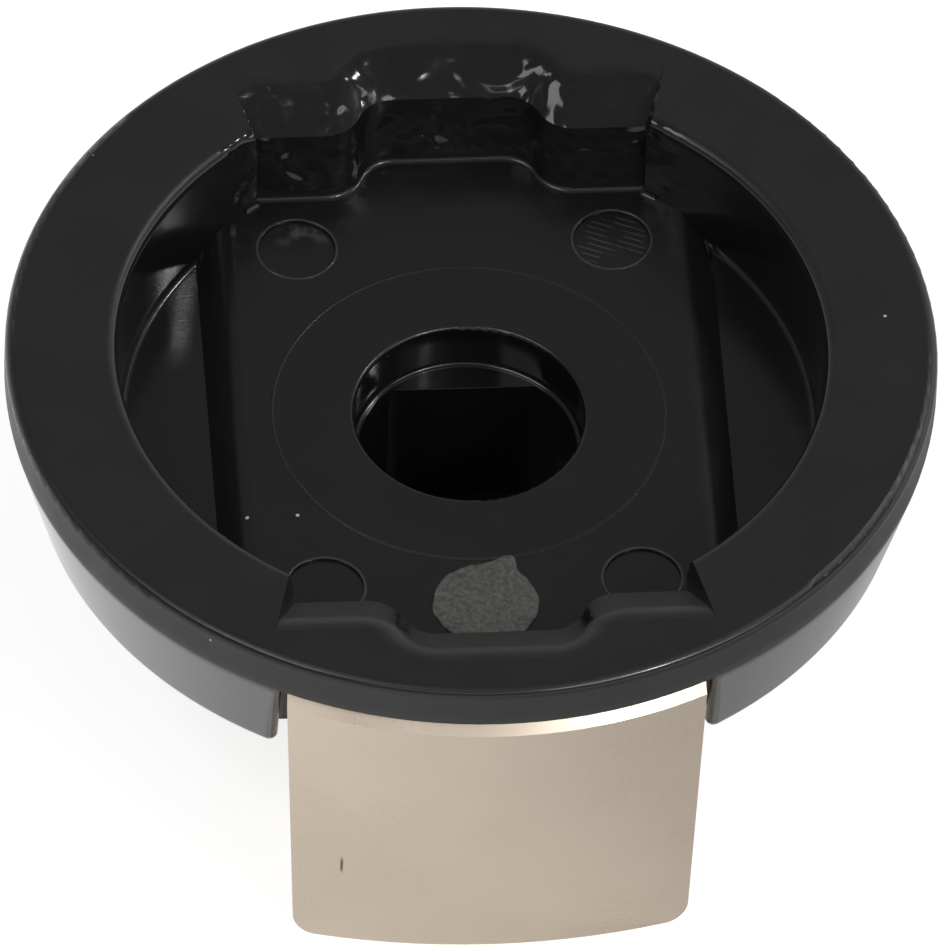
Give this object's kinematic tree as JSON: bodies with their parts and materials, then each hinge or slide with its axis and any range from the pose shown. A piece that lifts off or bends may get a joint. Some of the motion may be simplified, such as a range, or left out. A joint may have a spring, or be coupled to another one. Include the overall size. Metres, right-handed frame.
{
  "type": "control knob",
  "caption": "Round appliance control knob: black moulded disc with a notched dish and stepped D-shaped spindle hole in its back, and a satin metal grip bar across its front.",
  "frame": {"origin": "centre of the grip's flat front face, on the spindle axis, where the knob rests face down", "axes": "+Z along the spindle axis towards the open back, Y along the grip bar, with the spindle hole's flat on the +Y side"},
  "size_m": [0.04, 0.04, 0.0164],
  "materials": {
    "black_plastic": "black moulded plastic, satin on the rim and glossy in the dish",
    "satin_metal": "fine satin, warm nickel plating"
  },
  "bodies": {
    "root": {"knob_body": "black_plastic", "grip_bar": "satin_metal"}
  },
  "joints": []
}
